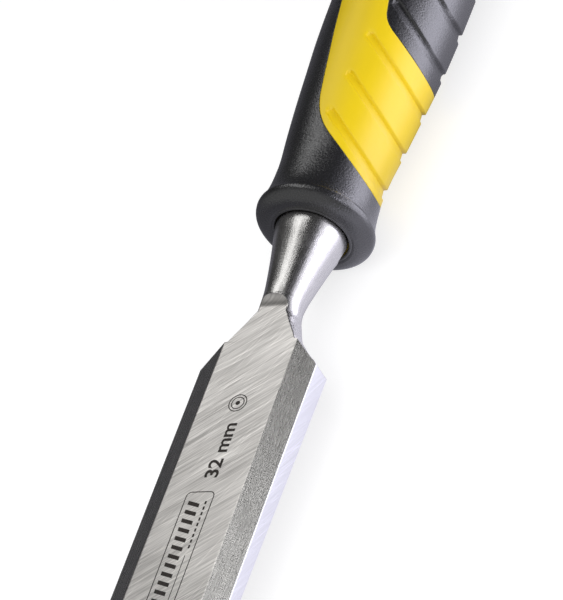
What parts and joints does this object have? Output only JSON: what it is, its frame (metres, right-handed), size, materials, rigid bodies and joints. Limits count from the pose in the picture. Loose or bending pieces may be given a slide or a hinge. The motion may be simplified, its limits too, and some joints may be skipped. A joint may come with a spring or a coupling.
{
  "type": "bench chisel",
  "caption": "Wide bevel-edge bench chisel with a round bolster and a two-colour moulded handle with a flared collar, slanted finger grooves and a steel strike cap.",
  "frame": {"origin": "centre of the flat strike face at the end of the handle, on the tool's axis", "axes": "+X along the tool towards the cutting edge, +Y across the blade, +Z out of the bevelled side, so the flat back faces -Z"},
  "size_m": [0.268, 0.0336, 0.0338],
  "materials": {
    "blade_steel": "ground with diagonal grinding marks, polished at the bolster",
    "core_plastic": "yellow, satin",
    "grip_rubber": "black, fine matt texture",
    "cap_steel": "turned, lightly polished"
  },
  "bodies": {
    "root": {"blade": "blade_steel", "handle_core": "core_plastic", "front_grip": "grip_rubber", "rear_grip": "grip_rubber", "strike_cap": "cap_steel"}
  },
  "joints": []
}
